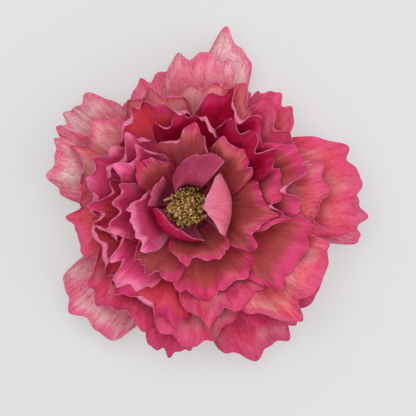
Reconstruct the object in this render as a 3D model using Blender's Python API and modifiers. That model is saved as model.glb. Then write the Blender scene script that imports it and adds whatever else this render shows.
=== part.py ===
"""Crepe paper peony: a full double flower head that lies face up on its taped stem end.

A spun cotton ball on a wire carries everything. The fringed paper stamens are wound on its spigot.
The crepe paper petals are glued to the ball by their feet, ring by ring, each ring more open than
the one inside it, and a petal's frilled rim was stretched between the thumbs. Five green sepals
and a winding of floral tape finish the underside.

The origin is on the wire's axis, where the tape meets the table, with +Z up. Units are metres.
"""

import math
from collections import namedtuple

import bmesh
import bpy
from mathutils import Vector

MM = 0.001

# The ball, its spigot for the stamens and its hole for the wire
BALL_RADIUS = 12.0 * MM
STEM_END_HEIGHT = 5.0 * MM
BALL_CENTRE_Z = STEM_END_HEIGHT + BALL_RADIUS
SEAT_HEIGHT = 0.79 * BALL_RADIUS
SPIGOT_RADIUS = 2.2 * MM
SPIGOT_HEIGHT = 6.0 * MM
WIRE_RADIUS = 1.0 * MM
WIRE_DEPTH = 15.0 * MM
WIRE_CLEARANCE = 0.3 * MM

# What is glued or wound on keeps this gap to what carries it
GLUE_GAP = 0.3 * MM

# The taped stem end
TAPE_FLOOR = 0.9 * MM
TAPE_FOOT_RADIUS = 8.6 * MM
TAPE_WALL = 1.1 * MM
TAPE_RIM_LEAN = 147.0
TAPE_TURNS = 3
TAPE_TURN_BULGE = 0.25 * MM

# The roll of fringed paper
STAMEN_ROLL_RADIUS = 0.567 * BALL_RADIUS
STAMEN_ROLL_HEIGHT = 8.0 * MM
FILAMENT_COUNT = 34
FILAMENT_HEIGHT = 7.5 * MM
FILAMENT_RADIUS = 0.42 * MM
ANTHER_RADIUS = 0.95 * MM
FILAMENT_SPLAY_DEG = 9.0

# Heavy florists' crepe, as thick as its creping stands
PETAL_THICKNESS = 0.5 * MM
SEPAL_THICKNESS = 0.6 * MM

# The longest petals' rims are this far from the ball's centre. The photograph's head is about
# 150 mm across with them.
HEAD_REACH = 80.0 * MM

# Every petal lies on a cup. A cup's lean from upright grows by CUP_DEG towards the ball
CUP_DEG = 41.0
CUP_DEPTH = 0.8 * HEAD_REACH

# The feet of a ring take this share of the way round the ball
FOOT_SHARE = 0.92

# Petal outline: how far the shoulders fall back, and how deep its edge is scalloped
SHOULDER_FALL = 0.24
SHOULDER_POWER = 3.6
SCALLOP = 0.035

# A ring's petals share one ruffle, so that they nest. It starts at FRILL_START of the ring's
# length. GATHER steepens the sides of its waves, and OWN_FRILL is a petal's own unlike ripple.
FRILL_START = 0.3
GATHER = 1.0
OWN_FRILL = 0.7 * MM

PETAL_COLUMN_WIDTH = 6.0 * MM
PETAL_ROWS = 4
FULL_TURN_STEPS = 20

# A ring's open_deg is the lean of its cups, and each petal's counterclockwise side leans out by
# shingle_deg over its neighbour. frill_deg is the ruffle at the rim, waves are its two counts of
# whole waves in a turn, and roll_deg turns the middle of a rim outwards.
Ring = namedtuple("Ring", "name open_deg shingle_deg frill_deg waves roll_deg finish petals")

# azimuth and spread are the middle and the width of the rim, in degrees. reach is the rim's distance
# from the ball's centre as a share of HEAD_REACH, and lift changes the rim's lean. tip, -1 to 1,
# is where across the rim the petal is longest, and point narrows it there.
Petal = namedtuple("Petal", "azimuth spread reach lift tip point", defaults=(0.0, 0.0, 0.0))

RINGS = (
    Ring("heart", 20.0, 4.0, 3.0, (6, 11), 6.0, "crepe_heart", (
        Petal(197.0, 84.0, 0.575),
        Petal(133.0, 54.0, 0.5375, 3.0),
        Petal(287.0, 88.0, 0.5),
    )),
    Ring("cup", 33.0, 3.5, 5.0, (9, 19), 6.0, "crepe_heart", (
        Petal(92.0, 62.0, 0.6),
        Petal(183.0, 62.0, 0.6375),
        Petal(350.0, 72.0, 0.6),
        Petal(137.0, 54.0, 0.625),
        Petal(238.0, 62.0, 0.6),
        Petal(44.0, 58.0, 0.575),
    )),
    Ring("inner", 45.0, 3.5, 6.5, (9, 19), 5.0, "crepe_middle", (
        Petal(44.0, 58.0, 0.6875),
        Petal(88.0, 56.0, 0.6625),
        Petal(140.0, 58.0, 0.6375),
        Petal(184.0, 54.0, 0.65),
        Petal(226.0, 56.0, 0.65),
        Petal(290.0, 80.0, 0.6),
        Petal(4.0, 54.0, 0.6625),
    )),
    Ring("middle", 56.0, 3.5, 7.0, (9, 19), 4.0, "crepe_middle", (
        Petal(112.0, 58.0, 0.725),
        Petal(162.0, 60.0, 0.6625),
        Petal(208.0, 54.0, 0.675),
        Petal(250.0, 54.0, 0.725),
        Petal(290.0, 58.0, 0.725),
        Petal(336.0, 60.0, 0.7875),
        Petal(18.0, 52.0, 0.7625),
        Petal(62.0, 56.0, 0.7375),
    )),
    Ring("outer", 67.0, 3.5, 6.5, (9, 19), 4.0, "crepe_outer", (
        Petal(188.0, 58.0, 0.675),
        Petal(146.0, 54.0, 0.7375),
        Petal(230.0, 58.0, 0.775, 0.0, 0.3),
        Petal(274.0, 54.0, 0.8),
        Petal(324.0, 58.0, 0.9125),
        Petal(4.0, 48.0, 0.8375),
        Petal(40.0, 50.0, 0.775),
        Petal(74.0, 48.0, 0.8),
        Petal(108.0, 46.0, 0.75),
    )),
    Ring("guard", 78.0, 3.5, 4.8, (9, 17), 3.0, "crepe_guard", (
        Petal(161.0, 38.0, 0.825, 0.0, -0.5),
        Petal(262.0, 32.0, 0.8375),
        Petal(12.0, 50.0, 0.9875, 0.0, -0.45),
        Petal(47.0, 32.0, 0.825),
        Petal(84.0, 34.0, 0.8875),
        Petal(318.0, 50.0, 0.8875),
    )),
    Ring("skirt", 89.0, 3.5, 4.0, (9, 17), 2.0, "crepe_guard", (
        Petal(139.0, 36.0, 0.875, 0.0, 0.3),
        Petal(226.0, 50.0, 0.875, 0.0, 0.1),
        Petal(301.0, 44.0, 0.9375),
        Petal(357.0, 24.0, 1, 0.0, -0.1),
        Petal(72.0, 33.0, 1.0625, 2.0, 0.35, 1.2),
        Petal(108.0, 42.0, 0.775, 0.0, -0.4),
    )),
)

# The bud petals close over the stamens. Each profile runs from the foot to the rim as a Bezier's
# four points, radius and height from the ball's centre in ball radii. The rim's two sides stand
# side_reach further out, and slant tilts the rim out on one side.
BudPetal = namedtuple("BudPetal", "name azimuth spread profile side_reach slant")

BUD_PETALS = (
    BudPetal("bud_hood", 4.0, 84.0, ((0.717, 0.742), (2.0, 1.33), (2.0, 3.0), (0.625, 2.79)), 0.54, 0.0),
    BudPetal("bud_scroll", 89.0, 78.0, ((0.717, 0.742), (1.08, 1.75), (0.33, 3.67), (1.79, 2.42)), 0.0, -0.75),
    BudPetal("bud_side", 153.0, 52.0, ((0.717, 0.742), (1.25, 1.17), (1.0, 2.2), (1.4, 2.5)), 0.08, 0.0),
    BudPetal("bud_lip", 240.0, 116.0, ((0.717, 0.742), (1.3, 1.2), (1.45, 2.1), (0.85, 2.42)), 0.25, 0.15),
)

BUD_SHOULDER = 0.1
BUD_FOOT_SHARE = 0.95

SEPAL_COUNT = 5
SEPAL_SPREAD = 62.0
SEPAL_FIRST_AZIMUTH = 20.0
SEPAL_SHOULDER = 0.45
SEPAL_FOOT_SHARE = 0.8
SEPAL_PROFILE = ((0.692, -0.79), (1.04, -1.12), (1.67, -1.35), (2.58, -1.27))

# Colour, roughness
FINISHES = {
    "crepe_heart": ((0.70, 0.20, 0.20), 0.75),
    "crepe_middle": ((0.72, 0.10, 0.20), 0.75),
    "crepe_outer": ((0.80, 0.20, 0.28), 0.75),
    "crepe_guard": ((0.86, 0.42, 0.50), 0.75),
    "crepe_bud": ((0.80, 0.28, 0.42), 0.75),
    "stamen_paper": ((0.55, 0.42, 0.10), 0.85),
    "cotton": ((0.42, 0.12, 0.13), 0.95),
    "green_crepe": ((0.20, 0.32, 0.12), 0.80),
    "floral_tape": ((0.24, 0.36, 0.16), 0.60),
    "wire": ((0.45, 0.46, 0.47), 0.35),
}


def clear_scene():
    for obj in list(bpy.data.objects):
        bpy.data.objects.remove(obj, do_unlink=True)


def new_collection(name):
    collection = bpy.data.collections.new(name)
    bpy.context.scene.collection.children.link(collection)
    return collection


def finish(name):
    """The Principled material of that name, made on its first use."""
    if name in bpy.data.materials:
        return bpy.data.materials[name]
    colour, roughness = FINISHES[name]
    material = bpy.data.materials.new(name)
    material.use_nodes = True
    shader = material.node_tree.nodes["Principled BSDF"]
    shader.inputs["Base Color"].default_value = (*colour, 1.0)
    shader.inputs["Roughness"].default_value = roughness
    shader.inputs["Metallic"].default_value = 1.0 if name == "wire" else 0.0
    material.diffuse_color = (*colour, 1.0)
    return material


def add_object(name, mesh, material, collection):
    obj = bpy.data.objects.new(name, mesh)
    obj.data.materials.append(finish(material))
    collection.objects.link(obj)
    return obj


def smooth_step(low, high, value):
    t = min(1.0, max(0.0, (value - low) / (high - low)))
    return t * t * (3.0 - 2.0 * t)


def around_ball(distance, lean_deg, azimuth_deg):
    """The point at a distance from the ball's centre, leaning from upright towards an azimuth."""
    lean = math.radians(lean_deg)
    azimuth = math.radians(azimuth_deg)
    radius = distance * math.sin(lean)
    return Vector((
        radius * math.cos(azimuth),
        radius * math.sin(azimuth),
        BALL_CENTRE_Z + distance * math.cos(lean),
    ))


def cup_lean(open_deg, distance):
    """Lean of the cup surface at a distance from the ball's centre. Two cups never cross."""
    fade = max(0.0, 1.0 - (distance - BALL_RADIUS) / CUP_DEPTH)
    return open_deg + CUP_DEG * fade**2


def ripple(across, waves, phase):
    """Two unlike waves along a rim, between -1 and 1."""
    turn = math.pi * waves * across
    return 0.66 * math.sin(turn + phase) + 0.34 * math.sin(1.7 * turn + 2.3 * phase)


def ruffle(ring, azimuth_deg, open_deg):
    """The ring's shared ruffle at an azimuth: its lean, -1 to 1, and its sideways gather in degrees."""
    azimuth = math.radians(azimuth_deg)
    drift = math.radians(open_deg)
    wide, narrow = ring.waves
    wide_turn = wide * azimuth + 1.3 * math.sin(2.0 * azimuth + 0.5) + 3.0 * drift
    narrow_turn = narrow * azimuth - 2.0 * math.sin(3.0 * azimuth + 1.0) - 4.5 * drift + 1.0
    lean = 0.6 * math.sin(wide_turn) + 0.4 * math.sin(narrow_turn)
    gather = 0.6 * math.cos(wide_turn) / wide + 0.4 * math.cos(narrow_turn) / narrow
    return lean, math.degrees(gather)


def rim_outline(petal, across):
    """Share of the petal's length that its edge reaches: longest at the tip, less at the shoulders."""
    side = across - petal.tip
    side /= 1.0 + petal.tip if side < 0.0 else 1.0 - petal.tip
    fall = SHOULDER_FALL + 0.16 * petal.point
    power = SHOULDER_POWER - 2.0 * petal.point
    return 1.0 - fall * abs(side) ** power


def ring_petal_surface(ring, petal, phase):
    """The petal's middle surface as a function of across, -1 to 1, and along, 0 at the foot to 1."""
    foot = BALL_RADIUS + GLUE_GAP
    foot_half = min(petal.spread, FOOT_SHARE * 360.0 / len(ring.petals)) / 2
    length = petal.reach * HEAD_REACH
    ring_length = sum(other.reach for other in ring.petals) / len(ring.petals) * HEAD_REACH

    def place(across, along):
        outline = rim_outline(petal, across) + SCALLOP * ripple(across, 3.5, phase + 1.0)
        distance = foot + (length * outline - foot) * along
        half = foot_half + (petal.spread / 2 - foot_half) * math.sin(along * math.pi / 2)
        azimuth = petal.azimuth + half * across
        rim = smooth_step(FRILL_START, 1.0, distance / ring_length)
        open_deg = ring.open_deg + ring.shingle_deg * across + petal.lift * rim
        frill, gather = ruffle(ring, azimuth, open_deg)
        lean = cup_lean(open_deg, distance) + ring.frill_deg * rim * frill
        lean += math.degrees(OWN_FRILL * ripple(across, 2.2, phase) * rim / distance)
        lean += ring.roll_deg * along**8 * (1.0 - across**2) ** 2
        return around_ball(distance, lean, azimuth + GATHER * rim * gather)

    return place


def bezier(points, t):
    a, b, c, d = points
    return (
        a * (1 - t) ** 3
        + b * 3 * t * (1 - t) ** 2
        + c * 3 * t * t * (1 - t)
        + d * t**3
    )


def profile_surface(profile, azimuth, spread, foot_share, side_reach, slant, shoulder, phase):
    """A petal whose profile is a Bezier in the plane of the wire's axis, swept round the axis."""
    radii = [point[0] * BALL_RADIUS for point in profile]
    heights = [point[1] * BALL_RADIUS for point in profile]

    def place(across, along):
        reach = along * (1.0 - shoulder * abs(across) ** SHOULDER_POWER)
        radius = bezier(radii, reach) + BALL_RADIUS * (side_reach * across**2 + slant * across) * along**3
        radius += 0.5 * MM * ripple(across, 2.0, phase) * along**2
        turn = math.radians(azimuth + spread / 2 * across * (foot_share + (1.0 - foot_share) * along))
        height = BALL_CENTRE_Z + bezier(heights, reach)
        return Vector((radius * math.cos(turn), radius * math.sin(turn), height))

    return place


def paper_sheet(name, columns, rows, place, thickness, material, collection):
    """A flat grid of crepe, bent to the surface `place` and given its thickness."""
    bm = bmesh.new()
    bmesh.ops.create_grid(bm, x_segments=columns, y_segments=rows, size=1.0)
    for vert in bm.verts:
        vert.co = place(vert.co.x, (vert.co.y + 1.0) / 2)
    mesh = bpy.data.meshes.new(name)
    bm.to_mesh(mesh)
    bm.free()
    mesh.shade_smooth()
    obj = add_object(name, mesh, material, collection)
    wall = obj.modifiers.new("crepe thickness", "SOLIDIFY")
    wall.thickness = thickness
    wall.offset = 0.0
    return obj


def rim_columns(length, spread):
    """Columns enough for the rim's ruffle."""
    width = length * math.radians(spread)
    return max(8, min(11, round(width / PETAL_COLUMN_WIDTH)))


def add_petals(collection):
    count = 0
    for ring in RINGS:
        for number, petal in enumerate(ring.petals, start=1):
            place = ring_petal_surface(ring, petal, phase=2.4 * count)
            columns = rim_columns(petal.reach * HEAD_REACH, petal.spread)
            name = f"{ring.name}_petal_{number}"
            paper_sheet(name, columns, PETAL_ROWS, place, PETAL_THICKNESS, ring.finish, collection)
            count += 1
    for number, bud in enumerate(BUD_PETALS):
        place = profile_surface(
            bud.profile, bud.azimuth, bud.spread, BUD_FOOT_SHARE, bud.side_reach, bud.slant, BUD_SHOULDER, number
        )
        paper_sheet(bud.name, 9, 7, place, PETAL_THICKNESS, "crepe_bud", collection)


def add_sepals(collection):
    for number in range(SEPAL_COUNT):
        azimuth = SEPAL_FIRST_AZIMUTH + number * 360.0 / SEPAL_COUNT
        place = profile_surface(
            SEPAL_PROFILE, azimuth, SEPAL_SPREAD, SEPAL_FOOT_SHARE, 0.0, 0.0, SEPAL_SHOULDER, number
        )
        paper_sheet(
            f"sepal_{number + 1}", 6, 4, place, SEPAL_THICKNESS, "green_crepe", collection
        )


def turned(name, profile, material, collection):
    """A solid of revolution about the wire's axis. The profile runs from axis to axis."""
    bm = bmesh.new()
    verts = [bm.verts.new((radius, 0.0, height)) for radius, height in profile]
    for first, second in zip(verts, verts[1:]):
        bm.edges.new((first, second))
    mesh = bpy.data.meshes.new(name)
    bm.to_mesh(mesh)
    bm.free()
    obj = add_object(name, mesh, material, collection)
    spin = obj.modifiers.new("turn", "SCREW")
    spin.steps = spin.render_steps = FULL_TURN_STEPS
    spin.use_merge_vertices = True
    spin.merge_threshold = 0.01 * MM
    return obj


def ball_arc(radius, first_lean, last_lean, count):
    """Points of a circle round the ball's centre, as radius and height."""
    leans = [first_lean + (last_lean - first_lean) * i / (count - 1) for i in range(count)]
    return [
        (radius * math.sin(math.radians(a)), BALL_CENTRE_Z + radius * math.cos(math.radians(a)))
        for a in leans
    ]


def add_ball(collection):
    bore = WIRE_RADIUS + WIRE_CLEARANCE
    bore_top = BALL_CENTRE_Z - BALL_RADIUS + WIRE_DEPTH + WIRE_CLEARANCE
    seat_z = BALL_CENTRE_Z + SEAT_HEIGHT
    seat_lean = math.degrees(math.acos(SEAT_HEIGHT / BALL_RADIUS))
    bore_lean = 180.0 - math.degrees(math.asin(bore / BALL_RADIUS))
    profile = [(0.0, seat_z + SPIGOT_HEIGHT), (SPIGOT_RADIUS, seat_z + SPIGOT_HEIGHT), (SPIGOT_RADIUS, seat_z)]
    profile += ball_arc(BALL_RADIUS, seat_lean, bore_lean, 9)
    profile += [(bore, bore_top), (0.0, bore_top)]
    return turned("cotton_ball", profile, "cotton", collection)


def add_tape(collection):
    """The winding: a cup under the ball, ridged by its turns, closed below the wire's end."""
    cup = BALL_RADIUS + GLUE_GAP
    bore = WIRE_RADIUS + WIRE_CLEARANCE
    bore_lean = 180.0 - math.degrees(math.asin(bore / cup))
    inner = ball_arc(cup, bore_lean, TAPE_RIM_LEAN, 4)
    rim_radius, rim_z = inner[-1]
    outer_radius = rim_radius + TAPE_WALL
    profile = [(0.0, TAPE_FLOOR), (bore, TAPE_FLOOR)] + inner + [(outer_radius, rim_z)]
    steps = 2 * TAPE_TURNS
    for i in range(1, steps + 1):
        share = i / steps
        radius = outer_radius + (TAPE_FOOT_RADIUS - outer_radius) * share
        radius += TAPE_TURN_BULGE if i % 2 else 0.0
        profile.append((radius, rim_z * (1.0 - share)))
    profile.append((0.0, 0.0))
    return turned("tape_winding", profile, "floral_tape", collection)


def add_wire(collection):
    bottom = TAPE_FLOOR + WIRE_CLEARANCE
    top = BALL_CENTRE_Z - BALL_RADIUS + WIRE_DEPTH
    bm = bmesh.new()
    bmesh.ops.create_cone(
        bm, cap_ends=True, segments=12, radius1=WIRE_RADIUS, radius2=WIRE_RADIUS, depth=top - bottom
    )
    mesh = bpy.data.meshes.new("stem_wire")
    bm.to_mesh(mesh)
    bm.free()
    mesh.set_sharp_from_angle(angle=math.radians(40.0))
    obj = add_object("stem_wire", mesh, "wire", collection)
    obj.location.z = (top + bottom) / 2
    return obj


def add_filaments(bm, top):
    """Slivers cut in the paper's edge, in a sunflower's order, each with a blunt anther."""
    golden = math.pi * (3.0 - math.sqrt(5.0))
    inside = SPIGOT_RADIUS + GLUE_GAP + FILAMENT_RADIUS
    outside = STAMEN_ROLL_RADIUS - FILAMENT_RADIUS
    for i in range(FILAMENT_COUNT):
        share = (i + 0.5) / FILAMENT_COUNT
        radius = math.sqrt(inside**2 + (outside**2 - inside**2) * share)
        azimuth = golden * i
        splay = math.radians(FILAMENT_SPLAY_DEG) * (2.0 * share - 0.6)
        foot = Vector((radius * math.cos(azimuth), radius * math.sin(azimuth), top - 1.0 * MM))
        along = Vector((math.sin(splay) * math.cos(azimuth), math.sin(splay) * math.sin(azimuth), math.cos(splay)))
        made = bmesh.ops.create_cone(
            bm, cap_ends=True, segments=5, radius1=FILAMENT_RADIUS, radius2=ANTHER_RADIUS, depth=FILAMENT_HEIGHT
        )
        turn = along.to_track_quat("Z", "Y").to_matrix()
        for vert in made["verts"]:
            vert.co = turn @ vert.co + foot + along * FILAMENT_HEIGHT / 2


def add_stamens(collection, helpers):
    """The wound strip: a tube on the spigot, with its fringe joined to its top."""
    bottom = BALL_CENTRE_Z + SEAT_HEIGHT + GLUE_GAP
    top = bottom + STAMEN_ROLL_HEIGHT
    bore = SPIGOT_RADIUS + GLUE_GAP
    bore_top = BALL_CENTRE_Z + SEAT_HEIGHT + SPIGOT_HEIGHT + GLUE_GAP
    profile = [
        (0.0, top),
        (STAMEN_ROLL_RADIUS, top),
        (STAMEN_ROLL_RADIUS, bottom),
        (bore, bottom),
        (bore, bore_top),
        (0.0, bore_top),
    ]
    roll = turned("stamen_fringe", profile, "stamen_paper", collection)
    bm = bmesh.new()
    add_filaments(bm, top)
    mesh = bpy.data.meshes.new("filaments")
    bm.to_mesh(mesh)
    bm.free()
    filaments = add_object("filaments", mesh, "stamen_paper", helpers)
    filaments.hide_render = True
    filaments.display_type = "WIRE"
    join = roll.modifiers.new("fringe", "BOOLEAN")
    join.operation = "UNION"
    join.solver = "EXACT"
    join.use_self = True
    join.object = filaments
    return roll


def main():
    clear_scene()
    peony = new_collection("crepe_paper_peony")
    helpers = new_collection("helpers")
    add_ball(peony)
    add_wire(peony)
    add_tape(peony)
    add_stamens(peony, helpers)
    add_petals(peony)
    add_sepals(peony)


main()
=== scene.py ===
# %% [markdown]
# # A crepe paper peony
# A full double peony made of creped paper lies face up on a pale table. Its petals are glued ring
# by ring to a spun cotton ball, and each rim was stretched between the thumbs until it ruffled.
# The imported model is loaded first, because every petal here stands in the place of its solid there.

# %% Load the frame
import math
from collections import namedtuple

import bmesh
import bpy
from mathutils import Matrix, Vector


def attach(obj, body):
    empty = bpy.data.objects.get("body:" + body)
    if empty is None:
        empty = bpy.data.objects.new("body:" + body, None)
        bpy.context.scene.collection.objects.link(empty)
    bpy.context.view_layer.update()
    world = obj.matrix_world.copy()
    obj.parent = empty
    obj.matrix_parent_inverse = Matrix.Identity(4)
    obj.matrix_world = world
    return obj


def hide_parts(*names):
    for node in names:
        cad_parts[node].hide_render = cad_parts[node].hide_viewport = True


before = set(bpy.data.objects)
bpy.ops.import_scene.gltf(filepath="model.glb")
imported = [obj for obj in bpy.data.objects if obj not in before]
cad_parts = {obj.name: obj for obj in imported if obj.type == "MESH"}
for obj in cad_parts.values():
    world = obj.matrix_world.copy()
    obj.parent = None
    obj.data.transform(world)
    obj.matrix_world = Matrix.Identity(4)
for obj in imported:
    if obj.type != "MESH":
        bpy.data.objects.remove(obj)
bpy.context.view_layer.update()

MM = 0.001
DEG = math.pi / 180.0
scene = bpy.context.scene

# %% [markdown]
# ## Camera
# The photograph looks straight down on the flower, from far enough to show hardly any
# perspective. A long lens a metre up does the same.

# %% Camera
PHOTO_PIXELS = 416
PIXEL = 0.45 * MM
FLOWER_CENTRE = Vector((9.45 * MM, -0.45 * MM, 30.0 * MM))
CAMERA_HEIGHT = 1.0

camera = bpy.data.objects.new("camera", bpy.data.cameras.new("camera"))
scene.collection.objects.link(camera)
camera.location = FLOWER_CENTRE + Vector((0.0, 0.0, CAMERA_HEIGHT))
camera.data.sensor_width = 36.0
camera.data.lens = 36.0 * CAMERA_HEIGHT / (PHOTO_PIXELS * PIXEL)
camera.data.clip_start = 0.01
scene.camera = camera
scene.view_settings.view_transform = "Standard"
print("lens:", round(camera.data.lens, 1), "mm")

# %% [markdown]
# ## Table
# The flower lies on a pale grey table, and the photograph shows only a faint shadow there. Light
# Path knows the rays that come from the camera, and for those the table is half paint and half its
# own even glow. The shadow stays, at half its depth. What the table throws back up at the petals
# is plain paint, so they are lit as they would be anyway.

# %% A grey table that keeps its shadow
TABLE_GREY = 0.79
GLOW_GREY = 0.775
GLOW_SHARE = 0.5

table_mesh = bpy.data.meshes.new("table")
table_shape = bmesh.new()
bmesh.ops.create_grid(table_shape, x_segments=1, y_segments=1, size=3.0)
table_shape.to_mesh(table_mesh)
table_shape.free()
table = bpy.data.objects.new("table", table_mesh)
table.location.z = -0.5 * MM
scene.collection.objects.link(table)

table_paint = bpy.data.materials.new("table_paint")
table_paint.use_nodes = True
nodes, links = table_paint.node_tree.nodes, table_paint.node_tree.links
paint = nodes["Principled BSDF"]
paint.inputs["Base Color"].default_value = (TABLE_GREY, TABLE_GREY, TABLE_GREY, 1.0)
paint.inputs["Roughness"].default_value = 0.9
glow = nodes.new("ShaderNodeEmission")
glow.inputs["Color"].default_value = (GLOW_GREY, GLOW_GREY, GLOW_GREY, 1.0)
share = nodes.new("ShaderNodeMath")
share.operation = "MULTIPLY"
share.inputs[1].default_value = GLOW_SHARE
both = nodes.new("ShaderNodeMixShader")
links.new(nodes.new("ShaderNodeLightPath").outputs["Is Camera Ray"], share.inputs[0])
links.new(share.outputs[0], both.inputs[0])
links.new(paint.outputs[0], both.inputs[1])
links.new(glow.outputs[0], both.inputs[2])
links.new(both.outputs[0], nodes["Material Output"].inputs["Surface"])
table_mesh.materials.append(table_paint)
print("table material:", len(nodes), "nodes")

# %% [markdown]
# ## Light
# Petals this ruffled need soft light, or their shadows hide the folds. One wide lamp hangs almost
# overhead, a weaker one lifts the right side, and the world fills in from all round.


# %% Lamps and world
def add_lamp(name, place, size, watts):
    """A square area lamp that faces the flower."""
    lamp = bpy.data.lights.new(name, "AREA")
    lamp.shape = "SQUARE"
    lamp.size = size
    lamp.energy = watts
    holder = bpy.data.objects.new(name, lamp)
    scene.collection.objects.link(holder)
    holder.location = place
    holder.rotation_euler = (-Vector(place)).to_track_quat("-Z", "Y").to_euler()


add_lamp("soft_window", (-0.12, 0.22, 1.25), size=1.0, watts=7.6)
add_lamp("soft_fill", (0.7, -0.2, 0.9), size=0.8, watts=3.0)
world = bpy.data.worlds.new("studio")
world.use_nodes = True
world.node_tree.nodes["Background"].inputs["Color"].default_value = (1.0, 1.0, 1.0, 1.0)
world.node_tree.nodes["Background"].inputs["Strength"].default_value = 0.44
scene.world = world
print("lamps:", [lamp.name for lamp in bpy.data.lights])

# %% [markdown]
# ## Arithmetic with nodes
# A petal's shape is a formula, and Geometry Nodes write a formula as a web of Math nodes. Wiring
# those one at a time is slow to read. This small class gives a socket Python's own signs, so that
# `a * b + 1` makes the two nodes and their links. It serves geometry and material trees alike.


# %% A socket that can be added and multiplied
class Amount:
    """A number socket in a node tree. Arithmetic with it adds Math nodes."""

    def __init__(self, tree, socket):
        self.tree = tree
        self.socket = socket

    def math(self, operation, *others):
        node = self.tree.nodes.new("ShaderNodeMath")
        node.operation = operation
        for entry, value in zip(node.inputs, (self, *others)):
            plug(self.tree, entry, value)
        return Amount(self.tree, node.outputs[0])

    def __add__(self, other):
        return self.math("ADD", other)

    def __mul__(self, other):
        return self.math("MULTIPLY", other)

    def __sub__(self, other):
        return self.math("SUBTRACT", other)

    def __truediv__(self, other):
        return self.math("DIVIDE", other)

    def __pow__(self, other):
        return self.math("POWER", other)

    def __rsub__(self, other):
        return (self * -1.0) + other

    __radd__ = __add__
    __rmul__ = __mul__


def plug(tree, entry, value):
    """Links a socket to an input, or types the number in."""
    if isinstance(value, Amount):
        tree.links.new(value.socket, entry)
    elif isinstance(value, bpy.types.NodeSocket):
        tree.links.new(value, entry)
    else:
        entry.default_value = value


def sine(amount):
    return amount.math("SINE")


def cosine(amount):
    return amount.math("COSINE")


def size_of(amount):
    return amount.math("ABSOLUTE")


def soft_step(low, high, amount):
    """0 below low, 1 above high, with a smooth way between."""
    node = amount.tree.nodes.new("ShaderNodeMapRange")
    node.interpolation_type = "SMOOTHSTEP"
    plug(amount.tree, node.inputs["Value"], amount)
    plug(amount.tree, node.inputs["From Min"], low)
    plug(amount.tree, node.inputs["From Max"], high)
    return Amount(amount.tree, node.outputs["Result"])


def vector(tree, x, y, z):
    node = tree.nodes.new("ShaderNodeCombineXYZ")
    for entry, value in zip(node.inputs, (x, y, z)):
        plug(tree, entry, value)
    return node.outputs[0]


def split(tree, socket):
    """The X, Y and Z of a vector socket, as amounts."""
    node = tree.nodes.new("ShaderNodeSeparateXYZ")
    tree.links.new(socket, node.inputs[0])
    return [Amount(tree, out) for out in node.outputs]


def noise(tree, place, detail=2.0, scale=1.0):
    """Blender's smooth noise, 0 to 1, read at a vector."""
    node = tree.nodes.new("ShaderNodeTexNoise")
    tree.links.new(place, node.inputs["Vector"])
    node.inputs["Scale"].default_value = scale
    node.inputs["Detail"].default_value = detail
    return Amount(tree, node.outputs[0])


# %% [markdown]
# ## Trees with named inputs
# Each tree gets named inputs for its sizes. A modifier knows an input by its identifier, so
# `bake_tree` looks that up, sets the values, and keeps the evaluated result as a plain mesh.
# The modifier goes with the scratch object, and only the mesh stays.


# %% Make a tree, and bake one
def new_tree(name, inputs):
    """An empty geometry tree with a mesh output and a number input for each name."""
    tree = bpy.data.node_groups.new(name, "GeometryNodeTree")
    tree.is_modifier = True
    tree.interface.new_socket(name="Mesh", in_out="OUTPUT", socket_type="NodeSocketGeometry")
    for label in inputs:
        tree.interface.new_socket(name=label, in_out="INPUT", socket_type="NodeSocketFloat")
    tree.interface.new_socket(name="Material", in_out="INPUT", socket_type="NodeSocketMaterial")
    entry = tree.nodes.new("NodeGroupInput")
    return tree, {label: Amount(tree, entry.outputs[label]) for label in inputs}, entry.outputs["Material"]


def close_tree(tree, mesh_socket, material_socket):
    """Realize Instances, Set Material and the output."""
    realize = tree.nodes.new("GeometryNodeRealizeInstances")
    paint = tree.nodes.new("GeometryNodeSetMaterial")
    output = tree.nodes.new("NodeGroupOutput")
    tree.links.new(mesh_socket, realize.inputs[0])
    tree.links.new(realize.outputs[0], paint.inputs["Geometry"])
    tree.links.new(material_socket, paint.inputs["Material"])
    tree.links.new(paint.outputs[0], output.inputs[0])


def bake_tree(tree, name, values, material):
    """A new object whose plain mesh is the tree's result for these values."""
    scratch = bpy.data.objects.new(name + "_scratch", bpy.data.meshes.new(name + "_scratch"))
    scene.collection.objects.link(scratch)
    modifier = scratch.modifiers.new("shape", "NODES")
    modifier.node_group = tree
    for item in tree.interface.items_tree:
        if item.in_out != "INPUT":
            continue
        modifier[item.identifier] = material if item.name == "Material" else float(values[item.name])
    evaluated = scratch.evaluated_get(bpy.context.evaluated_depsgraph_get())
    mesh = bpy.data.meshes.new_from_object(evaluated)
    mesh.name = name
    bpy.data.objects.remove(scratch, do_unlink=True)
    piece = bpy.data.objects.new(name, mesh)
    scene.collection.objects.link(piece)
    return piece


# %% [markdown]
# ## A flat strip of paper
# Every petal and sepal starts as a flat grid, closer at the rim, where the ruffles are tight. Two
# facts about the paper are kept on the mesh before it is bent, because the colours need them
# later: where a point lies on the sheet in metres, and how far it is from the nearest cut edge.

# %% Grid and what it remembers
PAPER_COLUMNS = 64
PAPER_ROWS = 36
RIM_CROWDING = 1.5
print("faces in a flat sheet:", PAPER_COLUMNS * PAPER_ROWS)


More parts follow.
